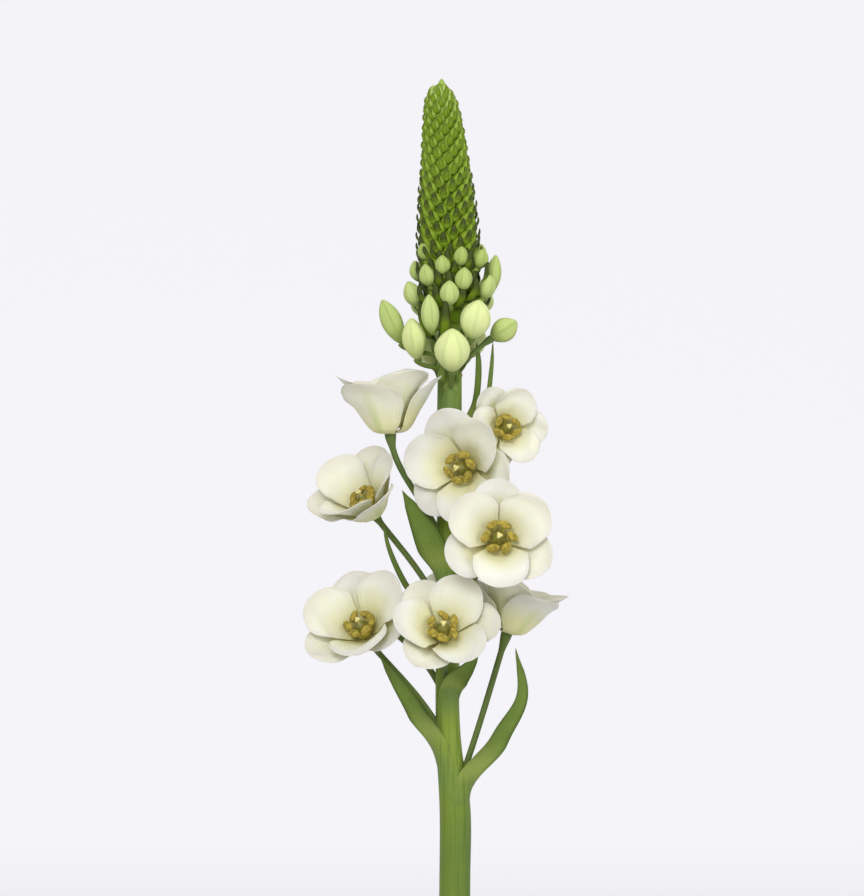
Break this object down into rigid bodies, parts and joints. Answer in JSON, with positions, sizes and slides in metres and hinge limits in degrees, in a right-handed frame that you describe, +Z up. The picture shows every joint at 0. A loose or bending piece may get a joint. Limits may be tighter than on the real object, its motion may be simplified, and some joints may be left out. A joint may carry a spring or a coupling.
{
  "type": "ornithogalum in vase",
  "caption": "White star-shaped flowers and a green bud spike on one tall cut stem, standing in a clear glass bud vase with water.",
  "frame": {"origin": "centre of the vase's flat foot", "axes": "+Z up along the flower stem, -Y towards the side that the picture shows, +X to the right seen from that side"},
  "size_m": [0.0875, 0.084, 0.45],
  "materials": {
    "glass": "clear, polished",
    "water": "clear liquid",
    "stem_green": "smooth fresh plant skin, faint lengthwise streaks",
    "spike_green": "packed green buds, satin",
    "tepal_white": "soft white petal with faint veins",
    "heart_olive": "olive and dark, satin",
    "bud_cream": "cream with green ribs, satin"
  },
  "bodies": {
    "root": {"vase": "glass", "water": "water", "flower_stem": "stem_green", "bud_spike": "spike_green", "bloom_01_tepals": "tepal_white", "bloom_01_heart": "heart_olive", "bloom_02_tepals": "tepal_white", "bloom_02_heart": "heart_olive", "bloom_03_tepals": "tepal_white", "bloom_03_heart": "heart_olive", "bloom_04_tepals": "tepal_white", "bloom_04_heart": "heart_olive", "bloom_05_tepals": "tepal_white", "bloom_05_heart": "heart_olive", "bloom_06_tepals": "tepal_white", "bloom_06_heart": "heart_olive", "bloom_07_tepals": "tepal_white", "bloom_07_heart": "heart_olive", "bloom_08_tepals": "tepal_white", "bloom_08_heart": "heart_olive", "bloom_09_tepals": "tepal_white", "bloom_09_heart": "heart_olive", "bloom_10_tepals": "tepal_white", "bloom_10_heart": "heart_olive", "bloom_11_tepals": "tepal_white", "bloom_11_heart": "heart_olive", "bloom_12_tepals": "tepal_white", "bloom_12_heart": "heart_olive", "bloom_13_tepals": "tepal_white", "bloom_13_heart": "heart_olive", "bud_01": "bud_cream", "bud_02": "bud_cream", "bud_03": "bud_cream", "bud_04": "bud_cream", "bud_05": "bud_cream", "bud_06": "bud_cream", "bud_07": "bud_cream"}
  },
  "joints": []
}
